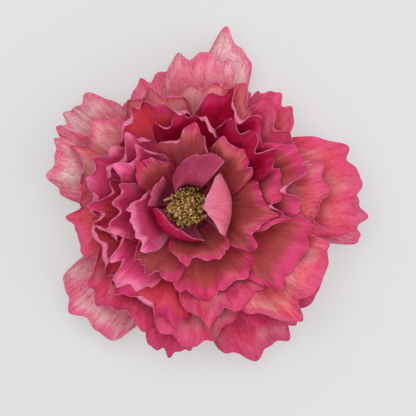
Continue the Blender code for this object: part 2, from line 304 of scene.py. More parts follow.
def flat_sheet(tree, length, half_width, seed):
    """A grid with its marks. Returns its socket, across (-1 to 1) and along (0 at the foot to 1)."""
    grid = tree.nodes.new("GeometryNodeMeshGrid")
    grid.inputs["Size X"].default_value = 2.0
    grid.inputs["Size Y"].default_value = 2.0
    grid.inputs["Vertices X"].default_value = PAPER_COLUMNS + 1
    grid.inputs["Vertices Y"].default_value = PAPER_ROWS + 1
    place = tree.nodes.new("GeometryNodeInputPosition")
    across, row, _ = split(tree, place.outputs[0])
    along = 1.0 - (1.0 - (row + 1.0) * 0.5) ** RIM_CROWDING
    to_rim = (1.0 - along) * length
    to_side = (1.0 - size_of(across)) * half_width * (along * 0.7 + 0.3)
    marks = (
        ("paper", "FLOAT_VECTOR", vector(tree, across * half_width, along * length, seed)),
        ("sheet", "FLOAT_VECTOR", vector(tree, across, along, to_rim.math("MINIMUM", to_side))),
    )
    mesh = grid.outputs["Mesh"]
    for name, kind, value in marks:
        store = tree.nodes.new("GeometryNodeStoreNamedAttribute")
        store.data_type = kind
        store.domain = "POINT"
        store.inputs["Name"].default_value = name
        tree.links.new(mesh, store.inputs["Geometry"])
        tree.links.new(value, store.inputs["Value"])
        mesh = store.outputs["Geometry"]
    return mesh, across, along


def bend(tree, mesh, place):
    """Moves every point of the sheet to its place, and shades it smooth."""
    move = tree.nodes.new("GeometryNodeSetPosition")
    smooth = tree.nodes.new("GeometryNodeSetShadeSmooth")
    tree.links.new(mesh, move.inputs["Geometry"])
    tree.links.new(place, move.inputs["Position"])
    tree.links.new(move.outputs[0], smooth.inputs["Geometry"])
    return smooth.outputs[0]


# %% [markdown]
# ## The rule of a ring petal
# Petals glued round a ball nest like cups. A point of a petal is given by its distance from the
# ball's centre, its lean from upright and its azimuth. A cup's lean is its opening plus some more
# near the ball, so two cups never cross. Within a ring each petal's left side leans out over its
# neighbour's right side. The ruffle belongs to the whole ring, so lapped petals ruffle together,
# as stacked paper does when it is stretched.

# %% Sizes of the head
BALL_RADIUS = 12.0 * MM
BALL_CENTRE_Z = 17.0 * MM
GLUE_GAP = 0.3 * MM
HEAD_REACH = 80.0 * MM
CUP_DEG = 41.0
CUP_DEPTH = 0.8 * HEAD_REACH
FOOT_SHARE = 0.92
PAPER_THICKNESS = 0.28 * MM
print("a petal with a reach of 1 is", round(HEAD_REACH / MM), "mm long from the ball's centre")

# %% Shoulders, ruffles and crinkles
# The falls, the scallop and the nibble are shares of the petal's length, FRILL_START of its ring's.
SHOULDER_FALL = 0.24
SHOULDER_POWER = 3.6
TIP_ROUNDING = 0.02
CORNER_FALL = 0.2
SCALLOP = 0.035
NIBBLE = 0.02
FRILL_START = 0.3
OWN_FRILL = 0.7 * MM
CRINKLE = 6.0 * MM
FLUTTER = 0.08 * MM
LIP = 1.5 * MM
CURL_DEPTH = 8.5 * MM
CURL_SIDE = 160.0 * DEG
print("rims curl over their last", round(CURL_DEPTH / MM, 1), "mm")

# %% The tree of a ring petal
ring_tree, size, paper_in = new_tree("Ring petal", (
    "Azimuth", "Spread", "Foot spread", "Length", "Ring length", "Opening", "Shingle", "Lift",
    "Frill", "Wide waves", "Narrow waves", "Gather", "Roll", "Curl", "Tip", "Point", "Phase",
))


def ripple(across, waves, phase):
    """Two unlike waves along a rim, between -1 and 1."""
    turn = across * (math.pi * waves)
    return sine(turn + phase) * 0.66 + sine(turn * 1.7 + phase * 2.3) * 0.34


half_spread = size["Spread"] * (0.5 * DEG)
half_foot = size["Foot spread"] * (0.5 * DEG)
foot = BALL_RADIUS + GLUE_GAP
sheet, across, along = flat_sheet(ring_tree, size["Length"], half_spread * size["Length"], size["Phase"])

# %% Its outline
side = across - size["Tip"]
left = side.math("LESS_THAN", 0.0)
side = side / ((1.0 - size["Tip"]) + left * size["Tip"] * 2.0)
fall = size["Point"] * 0.16 + SHOULDER_FALL
power = size["Point"] * -2.0 + SHOULDER_POWER
nibble = noise(ring_tree, vector(ring_tree, across * 7.0, size["Phase"], 0.0), detail=3.0) - 0.5
rounded = (side * side + TIP_ROUNDING) ** (power * 0.5)
outline = 1.0 - fall * rounded - CORNER_FALL * size_of(side) ** 9.0
outline = outline + ripple(across, 3.5, size["Phase"] + 1.0) * SCALLOP + nibble * NIBBLE
distance = (size["Length"] * outline - foot) * along + foot
print("the outline takes", len(ring_tree.nodes), "nodes")

# %% Its ruffle
widening = sine(along * (math.pi / 2))
azimuth = size["Azimuth"] * DEG + across * (half_foot + (half_spread - half_foot) * widening)
rim = soft_step(FRILL_START, 1.0, distance / size["Ring length"])
opening = size["Opening"] + size["Shingle"] * across + size["Lift"] * rim
wide_turn = size["Wide waves"] * azimuth + sine(azimuth * 2.0 + 0.5) * 1.3 + opening * (3.0 * DEG)
narrow_turn = size["Narrow waves"] * azimuth - sine(azimuth * 3.0 + 1.0) * 2.0 - opening * (4.5 * DEG) + 1.0
frill = sine(wide_turn) * 0.67 + sine(narrow_turn) * 0.33
gather = cosine(wide_turn) / size["Wide waves"] * 0.6 + cosine(narrow_turn) / size["Narrow waves"] * 0.2
crinkle_at = vector(
    ring_tree, cosine(azimuth) * 6.0, sine(azimuth) * 6.0, opening * 0.06 + distance * 25.0
)
crinkle = noise(ring_tree, crinkle_at, detail=2.0) - 0.5
flutter = sine(azimuth * 37.0 + opening * 0.2) * 0.6 + sine(azimuth * 59.0 - opening * 0.3) * 0.4
print("with the ruffle:", len(ring_tree.nodes), "nodes")

# %% [markdown]
# A rim that was rolled between the fingers stays curled. Its last millimetres bend along an arc,
# inwards in some places and outwards in others, as a noise round the ring says, and mostly inwards
# at the left of the photograph, where broad mauve backs show. Two short series, which stand for
# sin(bent) / bent and (1 - cos(bent)) / bent, give each point's place on the arc. The curl fades
# towards the petal's sides, because the neighbour that it laps lies close there.

# %% Its curl
curl_at = vector(ring_tree, cosine(azimuth) * 4.5, sine(azimuth) * 4.5, size["Opening"] * 0.31)
curl_wish = (noise(ring_tree, curl_at, detail=1.0) - 0.45) * 5.5 + cosine(azimuth - CURL_SIDE) * 0.55
curl_wish = curl_wish.math("MAXIMUM", -0.5).math("MINIMUM", 1.0) * size["Curl"] * DEG
curl_angle = curl_wish * (1.0 - size_of(across) ** 3.0)
curled_part = ((along - 1.0) * size["Length"] + CURL_DEPTH).math("MAXIMUM", 0.0)
bent = curl_angle * curled_part / CURL_DEPTH
shorter = curled_part * bent**2.0 / 6.0 * (1.0 - bent**2.0 / 20.0)
inwards = curled_part * bent * 0.5 * (1.0 - bent**2.0 / 12.0)
print("with the curl:", len(ring_tree.nodes), "nodes")

# %% Its lean, and the place of every point
fade = (1.0 - (distance - BALL_RADIUS) / CUP_DEPTH).math("MAXIMUM", 0.0)
lean = opening + fade * fade * CUP_DEG
lean = lean + size["Frill"] * rim * frill
lean = lean + ripple(across, 2.2, size["Phase"]) * rim / distance * (OWN_FRILL / DEG)
middle_only = (1.0 - across * across) ** 2.0
lean = lean + size["Roll"] * along**8.0 * middle_only
edge_moves = rim * rim * crinkle * CRINKLE + along**6.0 * flutter * size["Frill"] * FLUTTER
edge_moves = edge_moves + along**16.0 * LIP
lean = lean * DEG + (edge_moves - inwards) / distance
distance = distance - shorter
azimuth = azimuth + rim * gather * size["Gather"]
radius = distance * sine(lean)
place = vector(
    ring_tree,
    radius * cosine(azimuth),
    radius * sine(azimuth),
    (distance * cosine(lean) + BALL_CENTRE_Z).math("MAXIMUM", 0.5 * MM),
)
close_tree(ring_tree, bend(ring_tree, sheet, place), paper_in)
print("ring petal tree:", len(ring_tree.nodes), "nodes")

# %% [markdown]
# ## The rule of a wrapped petal
# The four petals that still close the bud, and the green sepals below, are not cups. Each is a
# profile, drawn as a Bezier curve beside the stem's axis, and swept round it through an angle.

# %% The tree of a wrapped petal
wrap_tree, size, paper_in = new_tree("Wrapped petal", (
    "Azimuth", "Spread", "Foot share", "Length", "R0", "R1", "R2", "R3", "H0", "H1", "H2", "H3",
    "Side reach", "Slant", "Shoulder", "Frill", "Phase",
))


def bezier(tree_size, letter, t):
    """The curve through the inputs R0 to R3, or H0 to H3, at t."""
    a, b, c, d = (tree_size[f"{letter}{i}"] for i in range(4))
    u = 1.0 - t
    return a * u**3.0 + b * t * u**2.0 * 3.0 + c * t**2.0 * u * 3.0 + d * t**3.0


half_spread = size["Spread"] * (0.5 * DEG)
half_width = half_spread * size["Length"] * 0.5
sheet, across, along = flat_sheet(wrap_tree, size["Length"], half_width, size["Phase"])
nibble = noise(wrap_tree, vector(wrap_tree, across * 6.0, size["Phase"], 3.0), detail=3.0) - 0.5
shoulder = size_of(across) ** SHOULDER_POWER * size["Shoulder"]
reach = along * (1.0 - shoulder + nibble * 0.05)
crinkle_at = vector(wrap_tree, across * 3.0, along * 2.0, size["Phase"])
crinkle = noise(wrap_tree, crinkle_at, detail=2.0) - 0.5
swing = size["Side reach"] * across * across + size["Slant"] * across
radius = bezier(size, "R", reach) + swing * along**3.0
radius = radius + (ripple(across, 2.0, size["Phase"]) * 0.5 + crinkle * 1.6) * along**2.0 * size["Frill"]
radius = radius * BALL_RADIUS
widening = size["Foot share"] + (1.0 - size["Foot share"]) * along
turn = size["Azimuth"] * DEG + half_spread * across * widening
height = bezier(size, "H", reach) * BALL_RADIUS + BALL_CENTRE_Z
place = vector(wrap_tree, radius * cosine(turn), radius * sine(turn), height)
close_tree(wrap_tree, bend(wrap_tree, sheet, place), paper_in)
print("wrapped petal tree:", len(wrap_tree.nodes), "nodes")

# %% [markdown]
# ## Crepe paper
# The dye in this paper is uneven. The foot of a petal is coral or peach and its middle pink. The
# rim was brushed with a stronger dye, which soaked in by a few millimetres, further along some
# streaks than along others. Creping leaves fine ridges along the petal, and handling leaves a few
# thin creases: grooves in the relief, with a darker line of painted shade in the colour. Pale
# petals show bare patches and a net of darker veins. All of it is noise, read from the marks on
# the mesh, so the pattern bends with the paper.

# %% Helpers for colours
PAPER_SHINE = 0.06


def colour_mix(tree, share, first, second, blend="MIX"):
    """Mixes two colours, each a socket or a tuple."""
    node = tree.nodes.new("ShaderNodeMix")
    node.data_type = "RGBA"
    node.blend_type = blend
    plug(tree, node.inputs[0], share)
    for entry, value in ((node.inputs[6], first), (node.inputs[7], second)):
        if isinstance(value, tuple):
            entry.default_value = (*value, 1.0)
        else:
            tree.links.new(value, entry)
    return node.outputs[2]


def colour_ramp(tree, share, stops):
    """A ramp through (place, colour) stops."""
    node = tree.nodes.new("ShaderNodeValToRGB")
    plug(tree, node.inputs[0], share)
    ramp = node.color_ramp
    ramp.interpolation = "EASE"
    while len(ramp.elements) < len(stops):
        ramp.elements.new(0.5)
    for element, (where, colour) in zip(ramp.elements, stops):
        element.position = where
        element.color = (*colour, 1.0)
    return node.outputs[0]


def new_material(name, roughness):
    """A material's tree and shader, with what is the same all over set on the shader."""
    material = bpy.data.materials.new(name)
    material.use_nodes = True
    tree = material.node_tree
    shader = tree.nodes["Principled BSDF"]
    shader.inputs["Roughness"].default_value = roughness
    shader.inputs["Specular IOR Level"].default_value = PAPER_SHINE
    return material, tree, shader


def add_bump(tree, shader, height, depth, strength):
    """Relief on the shader, depth metres deep."""
    bump = tree.nodes.new("ShaderNodeBump")
    bump.inputs["Strength"].default_value = strength
    bump.inputs["Distance"].default_value = depth
    plug(tree, bump.inputs["Height"], height)
    tree.links.new(bump.outputs[0], shader.inputs["Normal"])


def marks_of(tree, name):
    """The three numbers of a mark that the mesh carries."""
    node = tree.nodes.new("ShaderNodeAttribute")
    node.attribute_name = name
    return split(tree, node.outputs["Vector"])


# %% Noise along the grain
def grain_noise(tree, marks, across, along, shift=0.0, detail=3.0):
    """Noise with this many grains to the metre across the petal and along it."""
    x, y, seed = marks
    return noise(tree, vector(tree, x * across, y * along, seed + shift), detail=detail)


def vein_net(tree, marks, warp, mottle):
    """Thin lines between Voronoi cells, and the darkest flecks of the mottle, 0 to 1."""
    x, y, seed = marks
    net = tree.nodes.new("ShaderNodeTexVoronoi")
    net.feature = "DISTANCE_TO_EDGE"
    tree.links.new(vector(tree, x * 480.0 + warp, y * 250.0 + warp, seed), net.inputs["Vector"])
    line = 1.0 - soft_step(0.0, 0.2, Amount(tree, net.outputs["Distance"]))
    return (line * 0.6 + soft_step(0.45, 0.72, mottle)).math("MINIMUM", 1.0)


# %% [markdown]
# Where more dye lies, the paper swallows green first, then blue, and red hardly at all. So a dark
# streak isn't greyer than the rest but a deeper red. The three channels get three powers of one
# tone for that.


# %% The paper itself
def crepe_paper(
    name, foot, body, rim, band=(2.0, 6.0), veins=0.4, fade=0.0, grain=0.4, cut=(0.86, 0.42, 0.54)
):
    """Creped paper dyed along its rims. band is where the rim's dye thins out, in mm from the cut."""
    material, tree, shader = new_material(name, 0.85)
    marks = marks_of(tree, "paper")
    _, along, edge = marks_of(tree, "sheet")
    streaks = grain_noise(tree, marks, 520.0, 34.0)
    patches = grain_noise(tree, marks, 85.0, 60.0, shift=5.0)
    mottle = grain_noise(tree, marks, 1300.0, 330.0, shift=3.0, detail=4.0)
    pleats = grain_noise(tree, marks, 230.0, 13.0, shift=7.0)
    line = vein_net(tree, marks, (patches - 0.5) * 1.6, mottle)

    # The sheet's own dye, from foot to body, with bare patches
    colour = colour_ramp(tree, along + (patches - 0.5) * 0.35, ((0.1, foot), (0.6, body)))
    bare = soft_step(0.4, 0.62, grain_noise(tree, marks, 60.0, 45.0, shift=9.0, detail=4.0))
    colour = colour_mix(tree, bare * fade, colour, PALE_PAPER)

    # The dye that was brushed on the rim, and the veins
    soaked = edge + ((patches - 0.5) * 15.0 + (streaks - 0.5) * 9.0) * MM
    dyed = 1.0 - soft_step(band[0] * MM, band[1] * MM, soaked)
    colour = colour_mix(tree, dyed * (1.0 - veins * 0.6 + line * (veins * 0.6)), colour, rim)
    colour = colour_mix(tree, line * (patches * 1.3 * veins), colour, VEIN)

    # How deeply it took the dye, from point to point, and a painted shade along the creases
    crease_groove_and_shade = (1.0 - soft_step(0.0, 0.025, size_of(pleats - 0.5))) * soft_step(0.47, 0.6, patches)
    tone = ((streaks - 0.5) * 0.35 + (mottle - 0.5) * 1.2) * grain + (pleats - 0.5) * 0.35
    # Along the creases the tone drops: painted shade in their grooves.
    tone = tone - crease_groove_and_shade * 0.12 + 1.0
    deeper = vector(tree, tone**0.4, tone**2.0, tone**1.5)
    colour = colour_mix(tree, 1.0, colour, deeper, blend="MULTIPLY")

    # The cut, where the fibres show, and the relief
    at_cut = 1.0 - soft_step(0.1 * MM, 0.9 * MM, edge)
    colour = colour_mix(tree, at_cut * soft_step(0.4, 0.7, streaks) * 0.4, colour, cut)
    tree.links.new(colour, shader.inputs["Base Color"])
    ridges = grain_noise(tree, marks, 1000.0, 70.0, detail=2.0)
    relief = (ridges + mottle) * (0.4 * grain) + pleats * 1.5 - crease_groove_and_shade * 0.12
    add_bump(tree, shader, relief, 1.2 * MM, 0.9)
    return material


# %% [markdown]
# Each tint below was matched to one region of the flower. From the heart outwards they go
# from dusty rose to crimson, then pink, and coral or nearly white in the guards. The smooth inner
# papers have little grain, and the outer ones, which were stretched more, are mottled.

# %% Dyes of the heart and the middle
PALE_PAPER = (0.96, 0.78, 0.74)
VEIN = (0.76, 0.06, 0.21)
MAGENTA = (0.62, 0.04, 0.16)
heart_face = crepe_paper("heart_face", (0.42, 0.055, 0.05), (0.54, 0.095, 0.09), MAGENTA, band=(1.0, 4.0))
dusty_face = crepe_paper("dusty_face", (0.56, 0.08, 0.09), (0.72, 0.15, 0.17), MAGENTA, band=(1.0, 5.0))
cup_face = crepe_paper("cup_face", (0.42, 0.07, 0.06), (0.55, 0.12, 0.11), MAGENTA, band=(1.0, 4.5))
mauve_face = crepe_paper(
    "mauve_face", (0.62, 0.006, 0.06), (0.88, 0.10, 0.29), (0.93, 0.26, 0.46), band=(1.0, 9.0), veins=0.5
)
inner_face = crepe_paper("inner_face", (0.72, 0.008, 0.04), (0.88, 0.09, 0.17), MAGENTA, band=(3.0, 9.0))
# The upper right petals have a deep red dye, made darker still as painted shade of that side of the bowl.
crimson_shade_face = crepe_paper(
    "crimson_shade_face", (0.44, 0.002, 0.02), (0.46, 0.004, 0.04), (0.52, 0.02, 0.10), band=(2.0, 8.0), veins=0.15
)
bowl_face = crepe_paper(
    "bowl_face", (0.42, 0.065, 0.055), (0.58, 0.11, 0.10), (0.76, 0.06, 0.21), band=(3.0, 12.0)
)
middle_face = crepe_paper("middle_face", (0.70, 0.008, 0.03), (0.86, 0.09, 0.13), MAGENTA, band=(3.0, 10.0))
print("inner papers:", len([m for m in bpy.data.materials if m.name.endswith("face")]))

# %% Dyes of the outer rings
PINK = (0.80, 0.09, 0.23)
DARK_CUT = (0.46, 0.015, 0.09)
outer_face = crepe_paper(
    "outer_face", (0.84, 0.06, 0.05), (0.90, 0.16, 0.18), PINK,
    band=(2.0, 9.0), veins=0.7, fade=0.4, grain=1.0, cut=DARK_CUT,
)
peach_face = crepe_paper(
    "peach_face", (0.93, 0.15, 0.09), (0.95, 0.26, 0.27), PINK,
    band=(2.0, 9.0), veins=0.7, fade=0.6, grain=1.0, cut=DARK_CUT,
)
rose_face = crepe_paper(
    "rose_face", (0.62, 0.012, 0.04), (0.70, 0.06, 0.14), PINK,
    band=(2.0, 9.0), veins=0.6, fade=0.25, grain=0.7, cut=DARK_CUT,
)
guard_face = crepe_paper(
    "guard_face", (0.95, 0.46, 0.40), (0.93, 0.34, 0.41), PINK,
    band=(1.5, 10.0), veins=1.0, fade=1.0, grain=1.3, cut=DARK_CUT,
)
coral_guard_face = crepe_paper(
    "coral_guard_face", (0.88, 0.17, 0.09), (0.84, 0.09, 0.13), PINK,
    band=(2.0, 12.0), veins=0.7, fade=0.25, grain=1.0, cut=DARK_CUT,
)
rose_guard_face = crepe_paper(
    "rose_guard_face", (0.76, 0.07, 0.10), (0.72, 0.07, 0.15), (0.58, 0.05, 0.15),
    band=(1.0, 11.0), veins=0.7, fade=0.25, grain=1.0, cut=DARK_CUT,
)
print("papers with faces so far:", len([m for m in bpy.data.materials if m.name.endswith("face")]))

# %% Dyes of the bud and of the backs
bud_face = crepe_paper("bud_face", (0.30, 0.04, 0.03), (0.46, 0.08, 0.13), (0.56, 0.09, 0.18))
# The scroll stands deep in the bud, and its face's dark dusky rose is partly painted shade.
scroll_shade_face = crepe_paper(
    "scroll_shade_face", (0.20, 0.02, 0.02), (0.30, 0.035, 0.065), (0.40, 0.05, 0.12), band=(1.0, 5.0)
)
hood_back = crepe_paper(
    "hood_back", (0.80, 0.17, 0.13), (0.76, 0.17, 0.25), (0.78, 0.22, 0.34), band=(1.0, 7.0), veins=0.3
)
lip_back = crepe_paper(
    "lip_back", (0.30, 0.01, 0.04), (0.46, 0.012, 0.07), (0.52, 0.02, 0.12), band=(0.5, 3.0)
)
deep_back = crepe_paper(
    "deep_back", (0.62, 0.04, 0.12), (0.80, 0.13, 0.29), (0.88, 0.25, 0.43), band=(2.0, 8.0), veins=0.5
)
pale_back = crepe_paper(
    "pale_back", (0.66, 0.12, 0.17), (0.76, 0.20, 0.28), PINK,
    band=(3.0, 10.0), veins=0.8, fade=0.5, grain=1.0,
)
print("papers:", len([m for m in bpy.data.materials if m.name.endswith(("face", "back"))]))

# %% The cut edge
cut_edge, tree, shader = new_material("cut_edge", 0.9)
fibres = noise(tree, vector(tree, *[mark * 900.0 for mark in marks_of(tree, "paper")]))
tint = colour_ramp(tree, fibres, ((0.3, (0.60, 0.08, 0.18)), (0.7, (0.78, 0.24, 0.36))))
tree.links.new(tint, shader.inputs["Base Color"])
print("cut edge:", len(tree.nodes), "nodes")

# %% [markdown]
# ## The rings of petals
# Each line below is one petal: where its rim's middle points, how wide it spreads, and how far it
# reaches as a share of HEAD_REACH. These come from looking at which rim lies over which in the
# photograph. The rings go from the heart, which still stands nearly upright, to the skirt, which
# lies flat.

# %% The table of petals
Ring = namedtuple("Ring", "name opening shingle frill waves gather roll curl face back slot petals")
Petal = namedtuple("Petal", "azimuth spread reach lift tip point face", defaults=(0.0, 0.0, 0.0, None))

RINGS = (
    Ring("heart", 20.0, 4.0, 3.0, (6, 11), 0.6, 6.0, 30.0, heart_face, deep_back, "crepe_heart", (
        Petal(197.0, 84.0, 0.575, face=mauve_face),
        Petal(133.0, 54.0, 0.5375, 3.0, face=dusty_face),
        Petal(287.0, 88.0, 0.5),
    )),
    Ring("cup", 33.0, 3.5, 5.0, (9, 19), 0.55, 6.0, 90.0, cup_face, deep_back, "crepe_heart", (
        Petal(92.0, 62.0, 0.6, face=dusty_face),
        Petal(183.0, 62.0, 0.6375, face=mauve_face),
        Petal(350.0, 72.0, 0.6),
        Petal(137.0, 54.0, 0.625, face=mauve_face),
        Petal(238.0, 62.0, 0.6),
        Petal(44.0, 58.0, 0.575),
    )),
    Ring("inner", 45.0, 3.5, 6.5, (9, 19), 0.5, 5.0, 135.0, inner_face, deep_back, "crepe_middle", (
        Petal(44.0, 58.0, 0.6875, face=crimson_shade_face),
        Petal(88.0, 56.0, 0.6625, face=crimson_shade_face),
        Petal(140.0, 58.0, 0.6375, face=mauve_face),
        Petal(184.0, 54.0, 0.65),
        Petal(226.0, 56.0, 0.65, face=mauve_face),
        Petal(290.0, 80.0, 0.6, face=bowl_face),
        Petal(4.0, 54.0, 0.6625, face=bowl_face),
    )),
    Ring("middle", 56.0, 3.5, 7.0, (9, 19), 0.5, 4.0, 140.0, middle_face, deep_back, "crepe_middle", (
        Petal(112.0, 58.0, 0.725),
        Petal(162.0, 60.0, 0.6625, face=mauve_face),
        Petal(208.0, 54.0, 0.675),
        Petal(250.0, 54.0, 0.725),
        Petal(290.0, 58.0, 0.725, face=rose_face),
        Petal(336.0, 60.0, 0.7875, face=bowl_face),
        Petal(18.0, 52.0, 0.7625, face=bowl_face),
        Petal(62.0, 56.0, 0.7375, face=crimson_shade_face),
    )),
    Ring("outer", 67.0, 3.5, 6.5, (9, 19), 0.45, 4.0, 110.0, outer_face, pale_back, "crepe_outer", (
        Petal(188.0, 58.0, 0.675),
        Petal(146.0, 54.0, 0.7375, face=peach_face),
        Petal(230.0, 58.0, 0.775, 0.0, 0.3, face=rose_face),
        Petal(274.0, 54.0, 0.8, face=rose_face),
        Petal(324.0, 58.0, 0.9125),
        Petal(4.0, 48.0, 0.8375),
        Petal(40.0, 50.0, 0.775, face=rose_face),
        Petal(74.0, 48.0, 0.8, face=peach_face),
        Petal(108.0, 46.0, 0.75, face=peach_face),
    )),
    Ring("guard", 78.0, 3.5, 4.8, (9, 17), 0.4, 3.0, 40.0, guard_face, pale_back, "crepe_guard", (
        Petal(161.0, 38.0, 0.825, 0.0, -0.5),
        Petal(262.0, 32.0, 0.8375, face=rose_guard_face),
        Petal(12.0, 50.0, 0.9875, 0.0, -0.45, 0.0, coral_guard_face),
        Petal(47.0, 32.0, 0.825, face=coral_guard_face),
        Petal(84.0, 34.0, 0.8875),
        Petal(318.0, 50.0, 0.8875, face=rose_guard_face),
    )),
    Ring("skirt", 89.0, 3.5, 4.0, (9, 17), 0.4, 2.0, 25.0, guard_face, pale_back, "crepe_guard", (
        Petal(139.0, 36.0, 0.875, 0.0, 0.3),
        Petal(226.0, 50.0, 0.875, 0.0, 0.1),
        Petal(301.0, 44.0, 0.9375, face=rose_guard_face),
        Petal(357.0, 24.0, 1.0, 0.0, -0.1),
        Petal(72.0, 33.0, 1.0625, 2.0, 0.35, 1.2),
        Petal(108.0, 42.0, 0.775, 0.0, -0.4),
    )),
)
print("petals:", {ring.name: len(ring.petals) for ring in RINGS})


# %% [markdown]
# ## From sheet to petal
# The bent sheet has no thickness yet. Solidify gives it a face, a back and a cut edge, and paints
# each with its own material. Its first side looks away from the flower's heart, so the back's
# material comes first and the face's second.


# %% Give a sheet its thickness and its place in the frame
def finish_paper(piece, face, thickness, node, edge=cut_edge):
    """Solidify, paint and hand over a sheet that was baked with its back's material."""
    piece.data.materials.append(face)
    piece.data.materials.append(edge)
    wall = piece.modifiers.new("thickness", "SOLIDIFY")
    wall.thickness = thickness
    wall.offset = 0.0
    wall.material_offset = 1
    wall.material_offset_rim = 2
    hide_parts(node)
    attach(piece, "root")


# %% Bend every ring petal
count = 0
for ring in RINGS:
    ring_length = sum(petal.reach for petal in ring.petals) / len(ring.petals) * HEAD_REACH
    for number, petal in enumerate(ring.petals, start=1):
        node = f"{ring.name}_petal_{number}"
        piece = bake_tree(ring_tree, node + "_paper", {
            "Azimuth": petal.azimuth,
            "Spread": petal.spread,
            "Foot spread": min(petal.spread, FOOT_SHARE * 360.0 / len(ring.petals)),
            "Length": petal.reach * HEAD_REACH,
            "Ring length": ring_length,
            "Opening": ring.opening,
            "Shingle": ring.shingle,
            "Lift": petal.lift,
            "Frill": ring.frill,
            "Wide waves": ring.waves[0],
            "Narrow waves": ring.waves[1],
            "Gather": ring.gather,
            "Roll": ring.roll,
            "Curl": ring.curl,
            "Tip": petal.tip,
            "Point": petal.point,
            "Phase": 2.4 * count,
        }, ring.back)
        finish_paper(piece, petal.face or ring.face, PAPER_THICKNESS, node)
        count += 1
print("ring petals:", count, "faces in one sheet:", len(piece.data.polygons))

# %% [markdown]
# ## The bud
# Four petals still close over the stamens. A hood arches over from the right, a scroll rises at
# the back and rolls outwards, and a dark lip stands in front.

# %% Bend the bud's petals
# A profile's points are (distance from the axis, height above the ball's middle), in ball radii.
BudPetal = namedtuple("BudPetal", "name face back azimuth spread profile side_reach slant length")
BUD_FOOT = (0.717, 0.742)

BUD_PETALS = (
    BudPetal(
        "bud_hood", bud_face, hood_back, 4.0, 84.0,
        (BUD_FOOT, (2.0, 1.33), (2.0, 3.0), (0.625, 2.79)), 0.54, 0.0, 34.0 * MM,
    ),
    BudPetal(
        "bud_scroll", scroll_shade_face, deep_back, 89.0, 78.0,
        (BUD_FOOT, (1.08, 1.75), (0.33, 3.67), (1.79, 2.42)), 0.0, -0.75, 32.0 * MM,
    ),
    BudPetal(
        "bud_side", bud_face, deep_back, 153.0, 52.0,
        (BUD_FOOT, (1.25, 1.17), (1.0, 2.2), (1.4, 2.5)), 0.08, 0.0, 24.0 * MM,
    ),
    BudPetal(
        "bud_lip", bud_face, lip_back, 240.0, 116.0,
        (BUD_FOOT, (1.3, 1.2), (1.45, 2.1), (0.85, 2.42)), 0.25, 0.15, 24.0 * MM,
    ),
)


def profile_values(profile, azimuth, spread, foot_share, length, side_reach, slant, shoulder, frill, phase):
    """The wrapped petal tree's inputs, by name."""
    values = {
        "Azimuth": azimuth, "Spread": spread, "Foot share": foot_share, "Length": length,
        "Side reach": side_reach, "Slant": slant, "Shoulder": shoulder, "Frill": frill, "Phase": phase,
    }
    for i, (radius_share, height_share) in enumerate(profile):
        values[f"R{i}"] = radius_share
        values[f"H{i}"] = height_share
    return values


for number, bud in enumerate(BUD_PETALS):
    values = profile_values(
        bud.profile, bud.azimuth, bud.spread, foot_share=0.95, length=bud.length,
        side_reach=bud.side_reach, slant=bud.slant, shoulder=0.1, frill=0.083, phase=number,
    )
    piece = bake_tree(wrap_tree, bud.name + "_paper", values, bud.back)
    finish_paper(piece, bud.face, PAPER_THICKNESS, bud.name)
print("bud petals:", len(BUD_PETALS))

# %% [markdown]
# ## The calyx
# Five green sepals hold the petals from below. The photograph doesn't show them, but a paper peony
# has them, and they hide where the petals are glued.

# %% Bend the sepals
SEPAL_COUNT = 5
SEPAL_PROFILE = ((0.692, -0.79), (1.04, -1.12), (1.67, -1.35), (2.58, -1.27))
LEAF_CUT = (0.30, 0.40, 0.18)
leaf_green = crepe_paper(
    "leaf_green", (0.26, 0.38, 0.13), (0.20, 0.33, 0.10), (0.14, 0.24, 0.07), veins=0.0, cut=LEAF_CUT
)
for number in range(SEPAL_COUNT):
    azimuth = 20.0 + number * 360.0 / SEPAL_COUNT
    values = profile_values(
        SEPAL_PROFILE, azimuth, spread=62.0, foot_share=0.8, length=25.0 * MM,
        side_reach=0.0, slant=0.0, shoulder=0.45, frill=0.06, phase=number,
    )
    piece = bake_tree(wrap_tree, f"sepal_{number + 1}_paper", values, leaf_green)
    finish_paper(piece, leaf_green, 0.6 * MM, f"sepal_{number + 1}", edge=leaf_green)
print("sepals:", SEPAL_COUNT)

# %% [markdown]
# ## The stamens
# A strip of yellow paper is snipped into a fringe, wound on the spigot, and its tips are dipped
# in glue and ground foam, which dries to crumbs. One tree makes it all. It sets points in a
# sunflower's order, a snipped sliver on each, and a lumpy tip. Noise moves the tips' points, so no
# two crumbs are alike. The uncut part of the strip is a flat section swept along a spiral.

# %% The tree of the fringe
fringe_tree, size, paper_in = new_tree("Snipped fringe", (
    "Count", "Inner radius", "Outer radius", "Base height", "Height", "Sliver radius", "Tip radius",
    "Splay", "Lumpiness", "Jitter", "Roll start", "Roll turns", "Roll thickness", "Roll height",
))
points = fringe_tree.nodes.new("GeometryNodePoints")
plug(fringe_tree, points.inputs["Count"], size["Count"])
index = Amount(fringe_tree, fringe_tree.nodes.new("GeometryNodeInputIndex").outputs[0])
share = (index + 0.5) / size["Count"]
inner, outer = size["Inner radius"], size["Outer radius"]
point_radius = (inner * inner + (outer * outer - inner * inner) * share).math("SQRT")
point_azimuth = index * (math.pi * (3.0 - math.sqrt(5.0)))


def random_amount(tree, low, high, seed):
    """A number between low and high that differs from point to point."""
    node = tree.nodes.new("FunctionNodeRandomValue")
    node.data_type = "FLOAT"
    node.inputs[2].default_value = low
    node.inputs[3].default_value = high
    node.inputs["Seed"].default_value = seed
    return Amount(tree, node.outputs[1])


point_at = vector(
    fringe_tree,
    point_radius * cosine(point_azimuth) + random_amount(fringe_tree, -1.0, 1.0, 11) * size["Jitter"],
    point_radius * sine(point_azimuth) + random_amount(fringe_tree, -1.0, 1.0, 12) * size["Jitter"],
    size["Base height"],
)
set_points = fringe_tree.nodes.new("GeometryNodeSetPosition")
fringe_tree.links.new(points.outputs[0], set_points.inputs["Geometry"])
fringe_tree.links.new(point_at, set_points.inputs["Position"])
print("fringe tree started:", len(fringe_tree.nodes), "nodes")


